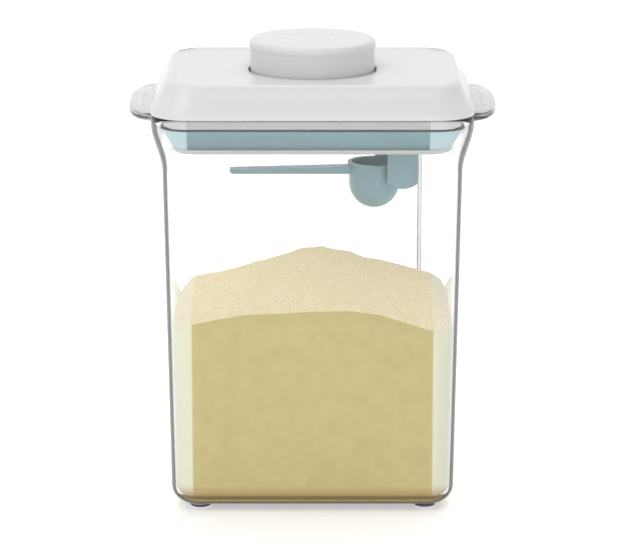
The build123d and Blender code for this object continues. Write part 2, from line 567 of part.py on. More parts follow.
# ======================================== scoop holder: a pair of jaws under the plate
with BuildPart() as scoop_holder:
    with BuildSketch(Plane.XY.offset(PLATE_Z - HOLDER_PAD)):
        with Locations(((HOLDER_REAR_X + HOLDER_RIGHT_X) / 2, 0)):
            RectangleRounded(HOLDER_RIGHT_X - HOLDER_REAR_X, 2 * HOLDER_HALF_Y, 3.0)
    extrude(amount=HOLDER_PAD)
    with Locations([(HOLDER_RIGHT_X - 4.0, y, PLATE_Z) for y in (-8.0, 8.0)]):
        Cylinder(2.0, PLATE_THICK - 0.4, align=(Align.CENTER, Align.CENTER, Align.MIN))
    # the jaws and the web between them
    with BuildSketch(Plane.XY.offset(HOLDER_BOTTOM_Z)):
        with Locations(((HOLDER_REAR_X + HOLDER_RIGHT_X) / 2, 0)):
            RectangleRounded(HOLDER_RIGHT_X - HOLDER_REAR_X, 2 * HOLDER_HALF_Y, 2.4)
        with Locations((BOWL_X - 10.0, 0)):
            Rectangle(20.0, 2 * HOLDER_SLOT, mode=Mode.SUBTRACT)
        with Locations((BOWL_X, 0)):
            Circle(HOLDER_SLOT, mode=Mode.SUBTRACT)
        with Locations((HOLDER_RIGHT_X - 4.4, 0)):
            RectangleRounded(4.8, 2 * HOLDER_SLOT - 7.0, 2.0, mode=Mode.SUBTRACT)
    extrude(amount=PLATE_Z - HOLDER_PAD - HOLDER_BOTTOM_Z)
    # the front jaw is shorter than the rear one
    with Locations((HOLDER_REAR_X, -HOLDER_HALF_Y, HOLDER_BOTTOM_Z)):
        Box(
            HOLDER_FRONT_X - HOLDER_REAR_X,
            HOLDER_HALF_Y,
            PLATE_Z - HOLDER_PAD - HOLDER_BOTTOM_Z,
            align=(Align.MIN, Align.CENTER, Align.MIN),
            mode=Mode.SUBTRACT,
        )
    # the lower edge is rounded
    middle_x = (HOLDER_FRONT_X + HOLDER_RIGHT_X) / 2
    with BuildSketch(Plane.XZ.offset(-30)):
        with BuildLine():
            Line((HOLDER_REAR_X - 1, HOLDER_BOTTOM_Z - 1), (HOLDER_RIGHT_X + 1, HOLDER_BOTTOM_Z - 1))
            Line((HOLDER_RIGHT_X + 1, HOLDER_BOTTOM_Z - 1), (HOLDER_RIGHT_X + 1, HOLDER_SHOULDER_Z + 0.6))
            ThreePointArc(
                (HOLDER_RIGHT_X + 1, HOLDER_SHOULDER_Z + 0.6),
                (middle_x, HOLDER_BOTTOM_Z),
                (HOLDER_FRONT_X - 1, HOLDER_SHOULDER_Z + 0.6),
            )
            Line((HOLDER_FRONT_X - 1, HOLDER_SHOULDER_Z + 0.6), (HOLDER_REAR_X - 1, HOLDER_SHOULDER_Z + 2.4))
            Line((HOLDER_REAR_X - 1, HOLDER_SHOULDER_Z + 2.4), (HOLDER_REAR_X - 1, HOLDER_BOTTOM_Z - 1))
        make_face()
    extrude(amount=60, mode=Mode.SUBTRACT)
    # groove in each jaw that the bead of the scoop's rim slides in along
    with BuildSketch(Plane.XY.offset(SCOOP_RIM_Z - 1.7)):
        with Locations((BOWL_X - 10.0, 0)):
            Rectangle(20.0, 2 * (HOLDER_SLOT + RIM_BEAD), mode=Mode.ADD)
        with Locations((BOWL_X, 0)):
            Circle(HOLDER_SLOT + RIM_BEAD)
    extrude(amount=2.0, mode=Mode.SUBTRACT)
save(scoop_holder.part, "scoop_holder")

# ======================================== scoop
with BuildPart() as scoop:
    bowl_dome_z = BOWL_BOTTOM_Z + BOWL_RADIUS
    with BuildSketch(Plane.XZ) as bowl_profile:
        with BuildLine():
            Line((0, BOWL_BOTTOM_Z), (0, BOWL_BOTTOM_Z + BOWL_WALL))
            CenterArc((0, bowl_dome_z), BOWL_RADIUS - BOWL_WALL, -90, 90)
            Polyline(
                (BOWL_RADIUS - BOWL_WALL, bowl_dome_z),
                (BOWL_RADIUS - BOWL_WALL, SCOOP_RIM_Z),
                (BOWL_RADIUS + RIM_BEAD, SCOOP_RIM_Z),
                (BOWL_RADIUS + RIM_BEAD, SCOOP_RIM_Z - 1.4),
                (BOWL_RADIUS, SCOOP_RIM_Z - 1.4),
                (BOWL_RADIUS, bowl_dome_z),
            )
            CenterArc((0, bowl_dome_z), BOWL_RADIUS, -90, 90)
        make_face()
    revolve(axis=Axis.Z)
scoop_bowl = scoop.part.translate((BOWL_X, 0, 0))

with BuildPart() as scoop_handle:
    joint_x = BOWL_X - BOWL_RADIUS + 0.6
    # a tapered bar, then the channel that runs along its underside
    for inset, cut in ((0.0, Mode.ADD), (HANDLE_WALL, Mode.SUBTRACT)):
        half_width = HANDLE_WIDTH / 2 - inset
        right_x = joint_x - inset
        with BuildSketch(Plane.XZ.offset(-half_width)):
            with BuildLine():
                Polyline(
                    (right_x, HANDLE_TOP_Z - inset),
                    (HANDLE_TIP_X + inset, HANDLE_TOP_Z - HANDLE_FALL - inset),
                    (HANDLE_TIP_X + 2.0 + inset, HANDLE_TOP_Z - HANDLE_FALL - HANDLE_TIP_DEPTH - 2 * inset),
                    (right_x, HANDLE_TOP_Z - HANDLE_DEPTH - 2 * inset),
                    close=True,
                )
            make_face()
        extrude(amount=2 * half_width, mode=cut)
    fillet(scoop_handle.faces().sort_by(Axis.Z)[-1].edges().filter_by(Axis.Y), 0.6)
whole_scoop = scoop_bowl + scoop_handle.part
save(whole_scoop, "scoop")

print("rocker swing each way", round(ROCKER_SWING, 3), "deg; lift", round(LIFT, 4), "mm")
rocker_ratio = 2 * radians(ROCKER_SWING) / (TRAVEL / 1000)
print("rocker ratio", round(rocker_ratio, 4), "rad/m; lift ratio", round(LIFT / TRAVEL, 5))
wire_swing = atan2(WIRE_TIP_X, WIRE_TIP_Z - WIRE_PIVOT_Z)
print("latch ratio", round(wire_swing / (TRAVEL / 1000), 4), "rad/m")
print("rocker pivot z", round(ROCKER_PIVOT_Z, 3))
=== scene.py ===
"""Looks for the formula container: smooth shells, a heap of powder and procedural materials.

Lengths are millimetres unless a name says otherwise, and the frame's own unit is the metre.
"""

from math import cos, pi, radians, sin

import bpy
import numpy as np
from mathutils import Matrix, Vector


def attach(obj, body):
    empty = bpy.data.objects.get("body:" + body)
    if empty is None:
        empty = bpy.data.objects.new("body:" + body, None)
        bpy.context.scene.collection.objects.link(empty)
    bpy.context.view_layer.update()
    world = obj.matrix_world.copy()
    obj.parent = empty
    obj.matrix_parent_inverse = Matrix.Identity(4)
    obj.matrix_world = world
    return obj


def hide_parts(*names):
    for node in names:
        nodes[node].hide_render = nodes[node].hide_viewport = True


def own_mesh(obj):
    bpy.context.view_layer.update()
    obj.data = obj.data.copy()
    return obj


MM = 0.001  # metres in a millimetre
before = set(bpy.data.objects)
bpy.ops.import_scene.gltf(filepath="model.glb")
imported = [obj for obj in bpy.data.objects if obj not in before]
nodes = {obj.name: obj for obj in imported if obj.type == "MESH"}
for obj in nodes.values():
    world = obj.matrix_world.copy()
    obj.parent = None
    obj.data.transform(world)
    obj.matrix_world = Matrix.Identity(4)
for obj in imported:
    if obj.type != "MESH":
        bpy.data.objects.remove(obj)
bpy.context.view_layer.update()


# ---------------------------------------------------------------- materials
def material(name, color, roughness, alpha=1.0, **sockets):
    """A Principled material with its uniform values set straight on the shader's sockets."""
    mat = bpy.data.materials.new(name)
    mat.use_nodes = True
    shader = mat.node_tree.nodes["Principled BSDF"]
    shader.inputs["Base Color"].default_value = (*color, 1.0)
    shader.inputs["Roughness"].default_value = roughness
    shader.inputs["Alpha"].default_value = alpha
    for socket, value in sockets.items():
        shader.inputs[socket.replace("_", " ")].default_value = value
    return mat


def link(mat, source, target):
    mat.node_tree.links.new(source, target)


def noise(mat, scale, detail=3.0, rough=0.5):
    """A noise texture on object coordinates, which are metres in the row frame."""
    tree = mat.node_tree
    coords = tree.nodes.new("ShaderNodeTexCoord")
    texture = tree.nodes.new("ShaderNodeTexNoise")
    texture.inputs["Scale"].default_value = scale
    texture.inputs["Detail"].default_value = detail
    texture.inputs["Roughness"].default_value = rough
    link(mat, coords.outputs["Object"], texture.inputs["Vector"])
    return texture


def ramp(mat, source, stops):
    """A colour ramp from source's factor, with stops of (position, colour)."""
    node = mat.node_tree.nodes.new("ShaderNodeValToRGB")
    elements = node.color_ramp.elements
    while len(elements) < len(stops):
        elements.new(0.5)
    for element, (position, color) in zip(elements, stops):
        element.position = position
        element.color = (*color, 1.0)
    link(mat, source, node.inputs["Fac"])
    return node


def bump(mat, source, strength, distance, below=None):
    """Adds a bump to the shader, over the one below it."""
    node = mat.node_tree.nodes.new("ShaderNodeBump")
    node.inputs["Strength"].default_value = strength
    node.inputs["Distance"].default_value = distance
    link(mat, source, node.inputs["Height"])
    if below is not None:
        link(mat, below.outputs["Normal"], node.inputs["Normal"])
    shader = mat.node_tree.nodes["Principled BSDF"]
    link(mat, node.outputs["Normal"], shader.inputs["Normal"])
    return node


def spread(mat, base, amount, scale):
    """Varies the base colour and the roughness a little, as moulded plastic does."""
    shader = mat.node_tree.nodes["Principled BSDF"]
    texture = noise(mat, scale, 2.0)
    darker = tuple(c * (1 - amount) for c in base)
    node = ramp(mat, texture.outputs["Fac"], [(0.35, darker), (0.65, base)])
    link(mat, node.outputs["Color"], shader.inputs["Base Color"])
    rough = shader.inputs["Roughness"].default_value
    levels = ramp(mat, texture.outputs["Fac"], [(0.3, (rough * 0.85,) * 3), (0.7, (rough * 1.2,) * 3)])
    link(mat, levels.outputs["Color"], shader.inputs["Roughness"])


white_gloss = material("white_gloss", (0.69, 0.69, 0.69), 0.34, Coat_Weight=0.3, Coat_Roughness=0.04)
spread(white_gloss, (0.69, 0.69, 0.69), 0.015, 14.0)
bump(white_gloss, noise(white_gloss, 60.0, 2.0).outputs["Fac"], 0.05, 0.0004)

white_satin = material("white_satin", (0.70, 0.70, 0.70), 0.38)
spread(white_satin, (0.70, 0.70, 0.70), 0.03, 30.0)
bump(white_satin, noise(white_satin, 900.0).outputs["Fac"], 0.08, 0.0002)

TEAL = (0.235, 0.40, 0.455)
teal = material("teal_plastic", (0.22, 0.355, 0.39), 0.3, Coat_Weight=0.15, Coat_Roughness=0.2)
spread(teal, TEAL, 0.05, 40.0)
bump(teal, noise(teal, 1200.0).outputs["Fac"], 0.06, 0.0002)


def zone(mat, axis_limits, center_x=0.0):
    """A factor that rises from 0 to 1 where |x|, |y| or z is past (low, high) mm on every axis given."""
    tree = mat.node_tree
    coords = tree.nodes.new("ShaderNodeTexCoord")
    split = tree.nodes.new("ShaderNodeSeparateXYZ")
    link(mat, coords.outputs["Object"], split.inputs["Vector"])
    factor = None
    for axis, (low, high) in axis_limits.items():
        shifted = tree.nodes.new("ShaderNodeMath")
        shifted.operation = "SUBTRACT"
        shifted.inputs[1].default_value = center_x * MM if axis == "X" else 0.0
        size = tree.nodes.new("ShaderNodeMath")
        size.operation = "ABSOLUTE"
        link(mat, split.outputs[axis], shifted.inputs[0])
        link(mat, shifted.outputs[0], size.inputs[0])
        step = tree.nodes.new("ShaderNodeMapRange")
        step.inputs["From Min"].default_value = low * MM
        step.inputs["From Max"].default_value = high * MM
        link(mat, size.outputs[0], step.inputs["Value"])
        if factor is None:
            factor = step.outputs["Result"]
        else:
            both = tree.nodes.new("ShaderNodeMath")
            both.operation = "MULTIPLY"
            link(mat, factor, both.inputs[0])
            link(mat, step.outputs["Result"], both.inputs[1])
            factor = both.outputs[0]
    return factor


def masked(mat, base, other, axis_limits, center_x=0.0):
    """Blends base towards another colour in the zone given."""
    tree = mat.node_tree
    mix = tree.nodes.new("ShaderNodeMix")
    mix.data_type = "RGBA"
    link(mat, zone(mat, axis_limits, center_x), mix.inputs["Factor"])
    link(mat, base, mix.inputs[6])
    mix.inputs[7].default_value = (*other, 1.0)
    link(mat, mix.outputs[2], tree.nodes["Principled BSDF"].inputs["Base Color"])
    return mix.outputs[2]


def base_source(mat):
    """The socket that feeds the shader's base colour."""
    return mat.node_tree.nodes["Principled BSDF"].inputs["Base Color"].links[0].from_socket


silicone = material("teal_silicone", (0.24, 0.40, 0.43), 0.5, Sheen_Weight=0.2, Sheen_Roughness=0.5)
spread(silicone, (0.25, 0.43, 0.47), 0.06, 25.0)
bump(silicone, noise(silicone, 1500.0).outputs["Fac"], 0.12, 0.0002)
# painted shade at its foot, painted light above, painted light where it is seen behind the container's bent
# corners, and a painted black shadow line at the top, in the gap under the inner lid
PAINTED_LIGHT_MIDDLE_X = -2.0
for color, where, middle in [
    ((0.13, 0.25, 0.27), {"Z": (190.5, 187.4)}, 0.0),
    ((0.27, 0.455, 0.50), {"Z": (193.2, 197.0)}, 0.0),
    ((0.62, 0.84, 0.88), {"X": (59.4, 60.0), "Y": (30, 36)}, PAINTED_LIGHT_MIDDLE_X),
    ((0.02, 0.025, 0.025), {"Z": (196.95, 197.2)}, 0.0),
]:
    masked(silicone, base_source(silicone), color, where, middle)

inner_white = material("inner_white", (0.69, 0.69, 0.69), 0.38)
spread(inner_white, (0.69, 0.69, 0.69), 0.03, 30.0)
bump(inner_white, noise(inner_white, 900.0).outputs["Fac"], 0.08, 0.0002)
# painted light: paler where the inner lid is seen behind the container's bent corners
PAINTED_LIGHT_CORNERS = {"X": (59.4, 60.0), "Y": (40, 44)}
masked(inner_white, base_source(inner_white), (0.90, 0.90, 0.90), PAINTED_LIGHT_CORNERS, PAINTED_LIGHT_MIDDLE_X)

steel = material("steel", (0.62, 0.62, 0.63), 0.25, Metallic=1.0)
spread(steel, (0.64, 0.64, 0.65), 0.08, 200.0)
bump(steel, noise(steel, 2500.0).outputs["Fac"], 0.05, 0.0001)


FLAT_DELAY = 0.4  # how much nearer to edge-on a flat wall has to be before its painted edge shade begins


def clear_material(name, transmission, face, edge, roughness, limits, bent=None):
    """Clear plastic that refracts and lets lamps through to what is inside it.

    Its colour darkens from face to edge at a glancing angle, a painted shade for the dark outline that
    refraction gives, and outside the bent zone only at a still more glancing one.
    """
    mat = material(name, face, roughness, Transmission_Weight=transmission, IOR=1.49)
    tree = mat.node_tree
    shader = tree.nodes["Principled BSDF"]
    glance = tree.nodes.new("ShaderNodeLayerWeight")
    glance.inputs["Blend"].default_value = 0.5
    facing = glance.outputs["Facing"]
    if bent is not None:
        later = tree.nodes.new("ShaderNodeMapRange")
        later.inputs["To Min"].default_value = -FLAT_DELAY
        later.inputs["To Max"].default_value = 0.0
        link(mat, zone(mat, bent), later.inputs["Value"])
        total = tree.nodes.new("ShaderNodeMath")
        link(mat, facing, total.inputs[0])
        link(mat, later.outputs["Result"], total.inputs[1])
        facing = total.outputs[0]
    # painted shade: the base colour goes from face to edge as the surface turns edge-on
    painted_edge_shade = ramp(mat, facing, [(limits[0], face), (limits[1], edge)])
    link(mat, painted_edge_shade.outputs["Color"], shader.inputs["Base Color"])
    bump(mat, noise(mat, 25.0, 1.0).outputs["Fac"], 0.02, 0.001)
    path = tree.nodes.new("ShaderNodeLightPath")
    clear = tree.nodes.new("ShaderNodeBsdfTransparent")
    clear.inputs["Color"].default_value = (0.97, 0.975, 0.975, 1.0)
    mix = tree.nodes.new("ShaderNodeMixShader")
    link(mat, path.outputs["Is Shadow Ray"], mix.inputs["Fac"])
    link(mat, shader.outputs["BSDF"], mix.inputs[1])
    link(mat, clear.outputs["BSDF"], mix.inputs[2])
    link(mat, mix.outputs["Shader"], tree.nodes["Material Output"].inputs["Surface"])
    return mat


# the container's bent corners, where its painted edge shade starts soonest
CORNERS = {"X": (56.0, 58.5), "Y": (40.0, 42.5)}
clear_plastic = clear_material(
    "clear_plastic", 1.0, (0.97, 0.98, 0.98), (0.012, 0.012, 0.012), 0.02, (0.44, 0.54), CORNERS
)
# the strip's front edge, where its painted edge shade starts soonest
STRIP_EDGE = {"Y": (20.3, 19.9)}
clear_strip = clear_material(
    "clear_strip", 1.0, (0.97, 0.98, 0.98), (0.02, 0.02, 0.02), 0.02, (0.45, 0.6), STRIP_EDGE
)
clear_inner = clear_material(
    "clear_inner", 1.0, (0.98, 0.985, 0.985), (0.75, 0.75, 0.75), 0.02, (0.7, 0.95)
)


def upright(mat, flat, side, streak):
    """Thick clear plastic with painted light and shade: pale where it faces up, dark with pale streaks on its
    upright edges, all painted into its colour.
    """
    tree = mat.node_tree
    geometry = tree.nodes.new("ShaderNodeNewGeometry")
    split = tree.nodes.new("ShaderNodeSeparateXYZ")
    link(mat, geometry.outputs["Normal"], split.inputs["Vector"])
    size = tree.nodes.new("ShaderNodeMath")
    size.operation = "ABSOLUTE"
    link(mat, split.outputs["Z"], size.inputs[0])
    texture = noise(mat, 260.0, 2.0)
    stretch = tree.nodes.new("ShaderNodeMapping")
    stretch.inputs["Scale"].default_value = (0.22, 0.22, 3.0)
    link(mat, texture.inputs["Vector"].links[0].from_socket, stretch.inputs["Vector"])
    link(mat, stretch.outputs["Vector"], texture.inputs["Vector"])
    streaks = ramp(mat, texture.outputs["Fac"], [(0.44, side), (0.62, streak)])
    mix = tree.nodes.new("ShaderNodeMix")
    mix.data_type = "RGBA"
    step = tree.nodes.new("ShaderNodeMapRange")
    step.inputs["From Min"].default_value = 0.75
    step.inputs["From Max"].default_value = 0.97
    link(mat, size.outputs[0], step.inputs["Value"])
    link(mat, step.outputs["Result"], mix.inputs["Factor"])
    link(mat, streaks.outputs["Color"], mix.inputs[6])
    mix.inputs[7].default_value = (*flat, 1.0)
    link(mat, mix.outputs[2], tree.nodes["Principled BSDF"].inputs["Base Color"])


# the ears and feet: painted shade at glancing angles and on upright sides, painted light on top and in
# streaks
clear_rim = clear_material("clear_rim", 0.25, (0.76, 0.76, 0.76), (0.16, 0.16, 0.16), 0.12, (0.8, 0.96))
upright(clear_rim, (0.68, 0.68, 0.68), (0.06, 0.06, 0.06), (0.60, 0.60, 0.60))
# the ear dots: nearly white, a painted highlight on the raised dots
clear_raised = clear_material("clear_raised", 0.2, (0.98, 0.98, 0.98), (0.5, 0.5, 0.5), 0.2, (0.8, 0.95))
# the underside in dark amber, painted shade under the container; the foot's rounding in amber, the powder
# seen through it painted in
clear_base = clear_material("clear_base", 0.3, (0.07, 0.055, 0.03), (0.03, 0.025, 0.02), 0.08, (0.35, 0.6))
clear_foot = clear_material("clear_foot", 0.2, (0.52, 0.36, 0.09), (0.05, 0.045, 0.03), 0.08, (0.4, 0.6))


def powder_material(name, tones, shade, pale, painted_light_zone, foot, grain_depth, clump_depth):
    """Dry milk powder: clumps in the tones given, grains down to shade, pale in the pale zone as painted
    light behind the container's bent corners, and darker at the foot as painted shade.
    """
    mat = material(name, tones[1], 0.9, Subsurface_Weight=0.1, Subsurface_Scale=0.003)
    grain = noise(mat, 1100.0, 4.0, 0.75)
    clump = noise(mat, 160.0, 3.0, 0.6)
    color = ramp(mat, clump.outputs["Fac"], list(zip((0.3, 0.5, 0.7), tones)))
    fine = ramp(mat, grain.outputs["Fac"], [(0.35, shade), (0.62, (1.0, 1.0, 1.0))])
    mix = mat.node_tree.nodes.new("ShaderNodeMix")
    mix.data_type = "RGBA"
    mix.blend_type = "MULTIPLY"
    mix.inputs["Factor"].default_value = 1.0
    tone = masked(mat, color.outputs["Color"], pale, painted_light_zone)
    # painted shade: darker amber towards the bottom, where the powder is seen through the container's rounded
    # foot
    if foot is not None:
        tone = masked(mat, tone, foot, {"Z": (14.0, 7.0)})
    link(mat, tone, mix.inputs[6])
    link(mat, fine.outputs["Color"], mix.inputs[7])
    link(mat, mix.outputs[2], mat.node_tree.nodes["Principled BSDF"].inputs["Base Color"])
    coarse = bump(mat, clump.outputs["Fac"], 0.5, clump_depth)
    bump(mat, grain.outputs["Fac"], 0.7, grain_depth, coarse)
    return mat


# powder against the walls, and loose on the heap: the heap's paler tones are partly the loose powder's own
# look and partly painted light; both get painted light in their pale zones behind the bent corners
WALL_TONES = [(0.70, 0.57, 0.205), (0.73, 0.60, 0.22), (0.75, 0.625, 0.24)]
HEAP_TONES = [(0.95, 0.81, 0.47), (0.97, 0.86, 0.54), (0.99, 0.90, 0.60)]
powder_wall = powder_material(
    "powder", WALL_TONES, (0.95, 0.94, 0.90), (1.0, 0.98, 0.76), {"X": (59.8, 60.6), "Y": (30, 34)},
    (0.50, 0.30, 0.06), 0.0002, 0.0002,
)
powder_top = powder_material(
    "powder_loose", HEAP_TONES, (0.62, 0.54, 0.40), (1.0, 0.97, 0.84), {"X": (60.2, 61.2)}, None,
    0.0014, 0.0012,
)
# the heap glows a little: painted light on the powder where the lid shades it
heap_glow_shader = powder_top.node_tree.nodes["Principled BSDF"]
heap_glow_shader.inputs["Emission Color"].default_value = (1.0, 0.86, 0.58, 1.0)
heap_glow_shader.inputs["Emission Strength"].default_value = 0.27


# ---------------------------------------------------------------- meshes
def piece(name, verts, faces, mat, body, replaces=None, sharp=40.0):
    """A mesh piece from millimetre vertices, smooth but for edges sharper than the angle given."""
    mesh = bpy.data.meshes.new(name)
    mesh.from_pydata([tuple(c * MM for c in v) for v in verts], [], faces)
    mesh.update()
    mesh.shade_smooth()
    mesh.set_sharp_from_angle(angle=radians(sharp))
    obj = bpy.data.objects.new(name, mesh)
    bpy.context.scene.collection.objects.link(obj)
    mesh.materials.append(mat)
    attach(obj, body)
    if replaces:
        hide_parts(replaces)
    return obj


CORNER_STEPS, LONG_STEPS, SHORT_STEPS = 12, 10, 40


def outline(half_x, half_y, corner):
    """Rounded rectangle as (x, y) points, with as many points whatever its size."""
    points = []
    flat_x, flat_y = half_x - corner, half_y - corner
    for k, (sx, sy) in enumerate(((1, -1), (1, 1), (-1, 1), (-1, -1))):
        start = -pi / 2 + k * pi / 2
        for i in range(CORNER_STEPS):
            a = start + i / CORNER_STEPS * pi / 2
            points.append((sx * flat_x + corner * cos(a), sy * flat_y + corner * sin(a)))
        steps = SHORT_STEPS if k % 2 == 0 else LONG_STEPS
        for i in range(steps):
            share = sin(-pi / 2 + i / steps * pi)
            if k == 0:
                points.append((half_x, flat_y * share))
            elif k == 1:
                points.append((-flat_x * share, half_y))
            elif k == 2:
                points.append((-half_x, -flat_y * share))
            else:
                points.append((flat_x * share, -half_y))
    return points


COUNT = len(outline(10, 10, 1))


def skin(rings, close=True):
    """Faces between rings of equal length. With close, the last ring joins the first."""
    verts = [v for r in rings for v in r]
    faces = []
    n, m = len(rings[0]), len(rings)
    for j in range(m if close else m - 1):
        a, b = j * n, (j + 1) % m * n
        for i in range(n):
            k = (i + 1) % n
            faces.append((a + i, a + k, b + k, b + i))
    return verts, faces


def capped(rings):
    """A skin whose first and last rings are filled."""
    verts, faces = skin(rings, close=False)
    n = len(rings[0])
    faces.append(tuple(reversed(range(n))))
    faces.append(tuple(range(len(verts) - n, len(verts))))
    return verts, faces


def ring(z, half_x, half_y, corner):
    return [(x, y, z) for x, y in outline(half_x, half_y, corner)]


def lathe(profile, segments=128, center=(0.0, 0.0)):
    """A turned shape from (radius, z) points; points on the axis close it."""
    rings = []
    for radius, z in profile:
        radius = max(radius, 0.001)
        turned = [2 * pi * i / segments for i in range(segments)]
        rings.append([(center[0] + radius * cos(a), center[1] + radius * sin(a), z) for a in turned])
    return skin(rings)


def arc(cx, cz, radius, start, end, steps):
    """Profile points on an arc, angles in degrees from +radius."""
    angles = [radians(start + (end - start) * i / steps) for i in range(steps + 1)]
    return [(cx + radius * cos(a), cz + radius * sin(a)) for a in angles]


# ---------------------------------------------------------------- container
BASE_HALF, DRAFT, SIDE_GAP, WALL = 71.3, 0.0185, 16.2, 2.2
FLARE_Z, FLANGE_Z, RIM_Z, RIM_HALF = 174.0, 199.0, 203.0, 80.0
BOTTOM_Z, FLOOR_Z, BASE_ROUND = 2.5, 5.1, 9.0
EAR_TIP, EAR_HALF_Y = 92.5, 42.0


def wall_half(z):
    straight = BASE_HALF + DRAFT * min(z, FLARE_Z)
    share = min(max((z - FLARE_Z) / (FLANGE_Z - FLARE_Z), 0.0), 1.0)
    return straight + (RIM_HALF - straight) * share * share * (3 - 2 * share)


def wall_ring(z, inset):
    half = wall_half(z)
    return ring(z, half - inset, half - SIDE_GAP - inset, 13.5 + 0.75 * (half - BASE_HALF) - inset)


def ear_ring(z, inset, rim_inset):
    """The rim's outline with the two ears pulled out of its sides."""
    points = []
    for x, y, _ in ring(z, RIM_HALF - rim_inset, RIM_HALF - SIDE_GAP - rim_inset, 20.0 - rim_inset):
        reach = EAR_HALF_Y - inset
        if abs(y) < reach:
            bulge = (1 - (abs(y) / reach) ** 3) ** 0.555
            out = 79.5 + (EAR_TIP - inset - 79.5) * bulge
            if abs(x) > 60 and out > abs(x):
                x = out if x > 0 else -out
        points.append((x, y, z))
    return points


heights = [30, 60, 90, 120, 150, 168] + [FLARE_Z + (FLANGE_Z - FLARE_Z) * i / 14 for i in range(14)]


def round_foot(radius, z):
    """(inset, z) points from the underside at height z round to the upright wall."""
    return [(radius * (1 - sin(a)), z + radius * (1 - cos(a))) for a in np.linspace(0, pi / 2, 9)]


base_arc = round_foot(BASE_ROUND, BOTTOM_Z)
floor_arc = round_foot(BASE_ROUND - WALL, FLOOR_Z)

rings = [ring(BOTTOM_Z, 40, 24, 4.0)]
for inset, z in base_arc:
    half = wall_half(z)
    rings.append(ring(z, half - inset, half - SIDE_GAP - inset, 13.5 - inset))
rings += [wall_ring(z, 0) for z in heights]
rings.append(wall_ring(FLANGE_Z, 0))
ear_profile = [
    (FLANGE_Z + 0.05, 1.2, 0), (FLANGE_Z + 0.4, 0.35, 0), (FLANGE_Z + 1.2, 0, 0),
    (RIM_Z - 1.2, 0, 0), (RIM_Z - 0.4, 0.35, 0.1), (RIM_Z, 1.2, 0.4),
]
rings += [ear_ring(*point) for point in ear_profile]
inner_top = [ring(RIM_Z, RIM_HALF - WALL + 0.4, RIM_HALF - WALL - SIDE_GAP + 0.4, 18.2)]
inner_top.append(ring(RIM_Z - 0.5, RIM_HALF - WALL, RIM_HALF - WALL - SIDE_GAP, 17.8))
rings += inner_top + [ring(FLANGE_Z, RIM_HALF - WALL, RIM_HALF - WALL - SIDE_GAP, 17.8)]
rings += [wall_ring(z, WALL) for z in reversed(heights)]
for inset, z in reversed(floor_arc):
    half = wall_half(z)
    rings.append(ring(z, half - WALL - inset, half - WALL - SIDE_GAP - inset, 11.4 - inset))
rings.append(ring(FLOOR_Z, 40, 24, 4.0))
verts, faces = capped(rings)
container = piece("container_shell", verts, faces, clear_plastic, "container", "container")
for mat in (clear_rim, clear_inner, clear_base, clear_foot):
    container.data.materials.append(mat)
EAR, INNER, UNDERSIDE, FOOT_ROUND = 1, 2, 3, 4  # places in the container's list of materials
UNDERSIDE_RINGS, FOOT_RINGS = 4, 7  # how many of the first rings each reaches
inside = (len(base_arc) + len(heights) + 10) * COUNT
for polygon in container.data.polygons:
    if min(polygon.vertices) >= inside:
        polygon.material_index = INNER
    elif polygon.center.z > (FLANGE_Z - 0.1) * MM and abs(polygon.center.x) > (RIM_HALF - 1.0) * MM:
        polygon.material_index = EAR
    elif max(polygon.vertices) < UNDERSIDE_RINGS * COUNT:
        polygon.material_index = UNDERSIDE
    elif max(polygon.vertices) < FOOT_RINGS * COUNT:
        polygon.material_index = FOOT_ROUND

FOOT_X, FOOT_Y = 57, 41
feet = [(-FOOT_X, -FOOT_Y), (FOOT_X, -FOOT_Y), (FOOT_X, FOOT_Y), (-FOOT_X, FOOT_Y)]
for i, (x, y) in enumerate(feet):
    profile = [(0, 0), (4.5, 0)] + arc(4.5, 1.0, 1.0, -90, 0, 5) + [(5.5, 2.6), (0, 2.6)]
    verts, faces = lathe(profile, 48, (x, y))
    piece(f"foot_{i + 1}", verts, faces, clear_rim, "container")

# rails that hold the leveller, on the inside of the back wall
RAIL_THICK, RAIL_DEEP, RAIL_Z, RAIL_TOP_Z = 1.3, 2.2, 9, 166
for i, x in enumerate((52.8, 56.6)):
    low, high = wall_half(8) - SIDE_GAP - WALL, wall_half(RAIL_TOP_Z) - SIDE_GAP - WALL
    section = [
        (low - RAIL_DEEP - 3, RAIL_Z), (low + 0.6, RAIL_Z), (high + 0.6, RAIL_TOP_Z),
        (high - RAIL_DEEP, RAIL_TOP_Z - RAIL_DEEP),
    ]
    verts = [(x, y, z) for y, z in section] + [(x + RAIL_THICK, y, z) for y, z in section]
    faces = [(3, 2, 1, 0), (4, 5, 6, 7)] + [(k, (k + 1) % 4, (k + 1) % 4 + 4, k + 4) for k in range(4)]
    piece(f"leveller_rail_{i + 1}", verts, faces, clear_plastic, "container")


# the leveller: a strip with softened edges, flat in front and following the wall behind
STRIP_X, STRIP_FRONT, STRIP_HALF_X = 55.35, 19.0, 1.05
# (z, how far the edges are softened there)
strip_heights = [
    (5.6, 0.5), (6.2, 0.0), (20, 0.0), (60, 0.0), (120, 0.0), (166, 0.0), (178.5, 0.0), (180.8, 0.7),
    (182.0, 3.0),
]
rings = []
for z, soft in strip_heights:
    front = STRIP_FRONT + (soft if z > 100 else 0.0)
    back = wall_half(z) - SIDE_GAP - WALL - 0.3 - (9.0 - z if z < 9 else 0.0)
    half_x = STRIP_HALF_X - min(soft, 0.4)
    shape = outline(half_x, (back - front) / 2, half_x - 0.05)
    rings.append([(STRIP_X + x, (front + back) / 2 + y, z) for x, y in shape])
verts, faces = capped(rings)
piece("leveller_strip", verts, faces, clear_strip, "container", "leveller")


